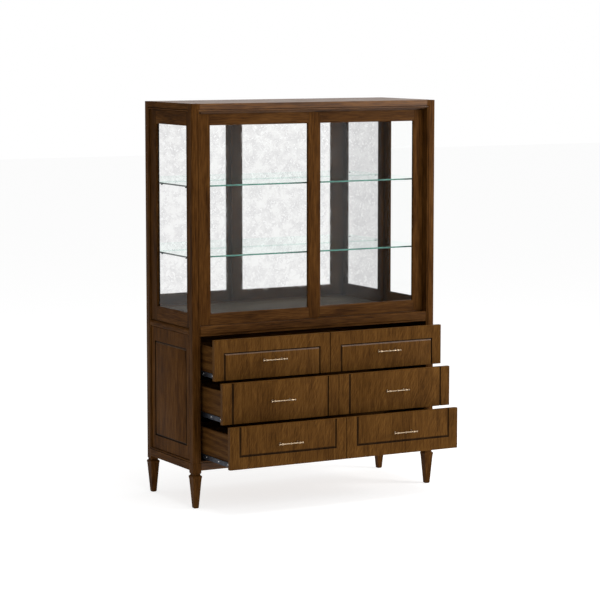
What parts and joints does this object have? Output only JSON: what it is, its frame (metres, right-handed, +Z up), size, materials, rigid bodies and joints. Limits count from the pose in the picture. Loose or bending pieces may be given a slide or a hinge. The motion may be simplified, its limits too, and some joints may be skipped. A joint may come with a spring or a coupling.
{
  "type": "china cabinet",
  "caption": "Glazed display case with sliding glass doors, glass shelves and a mirrored back over wide drawers, on short tapered legs.",
  "frame": {"origin": "On the floor, under the middle of the stored extent, drawers and pulls included.", "axes": "+Z up, +Y towards the back of the cabinet, +X to the right when facing its front."},
  "size_m": [1.399, 0.8726, 2],
  "materials": {
    "case_wood": "satin lacquer on dark walnut",
    "front_wood": "satin lacquer on figured walnut",
    "box_wood": "stained pine",
    "floor_wood": "dark semi-gloss",
    "back_wood": "unfinished panel",
    "glass": "clear",
    "mirror": "antiqued",
    "brass": "satin champagne",
    "steel": "zinc"
  },
  "bodies": {
    "cabinet": {"post_front_left": "case_wood", "post_front_right": "case_wood", "post_back_left": "case_wood", "post_back_right": "case_wood", "leg_front_left": "case_wood", "leg_front_right": "case_wood", "leg_back_left": "case_wood", "leg_back_right": "case_wood", "top_front_rail": "case_wood", "top_rail_left": "case_wood", "top_rail_right": "case_wood", "bottom_front_rail": "case_wood", "bottom_rail_left": "case_wood", "bottom_rail_right": "case_wood", "belt_rail_left": "case_wood", "belt_rail_right": "case_wood", "door_sill": "case_wood", "door_top_track": "case_wood", "top_panel": "case_wood", "case_bottom": "back_wood", "display_floor": "floor_wood", "mirror": "mirror", "mirror_board": "case_wood", "back_panel": "back_wood", "side_sash_left": "case_wood", "side_sash_right": "case_wood", "side_glass_left": "glass", "side_glass_right": "glass", "lower_side_panel_left": "case_wood", "lower_side_panel_right": "case_wood", "shelf_upper": "glass", "shelf_lower": "glass", "top_drawer_channel_left": "steel", "top_drawer_channel_right": "steel", "middle_drawer_channel_left": "steel", "middle_drawer_channel_right": "steel", "bottom_drawer_channel_left": "steel", "bottom_drawer_channel_right": "steel"},
    "left_door": {"left_door_frame": "case_wood", "left_door_glass": "glass"},
    "right_door": {"right_door_frame": "case_wood", "right_door_glass": "glass"},
    "top_drawer": {"top_drawer_front": "front_wood", "top_drawer_box": "box_wood", "top_drawer_runner_left": "steel", "top_drawer_runner_right": "steel", "top_drawer_pull_left": "brass", "top_drawer_pull_right": "brass"},
    "middle_drawer": {"middle_drawer_front": "front_wood", "middle_drawer_box": "box_wood", "middle_drawer_runner_left": "steel", "middle_drawer_runner_right": "steel", "middle_drawer_pull_left": "brass", "middle_drawer_pull_right": "brass"},
    "bottom_drawer": {"bottom_drawer_front": "front_wood", "bottom_drawer_box": "box_wood", "bottom_drawer_runner_left": "steel", "bottom_drawer_runner_right": "steel", "bottom_drawer_pull_left": "brass", "bottom_drawer_pull_right": "brass"}
  },
  "joints": [
    {"name": "left_door_slide", "type": "slide", "parent": "cabinet", "child": "left_door", "axis": [1, 0, 0], "range_m": [0, 0.63]},
    {"name": "right_door_slide", "type": "slide", "parent": "cabinet", "child": "right_door", "axis": [-1, 0, 0], "range_m": [0, 0.63]},
    {"name": "top_drawer_slide", "type": "slide", "parent": "cabinet", "child": "top_drawer", "axis": [0, -1, 0], "range_m": [-0.1475, 0.2025]},
    {"name": "middle_drawer_slide", "type": "slide", "parent": "cabinet", "child": "middle_drawer", "axis": [0, -1, 0], "range_m": [-0.232, 0.118]},
    {"name": "bottom_drawer_slide", "type": "slide", "parent": "cabinet", "child": "bottom_drawer", "axis": [0, -1, 0], "range_m": [-0.31, 0.04]}
  ]
}
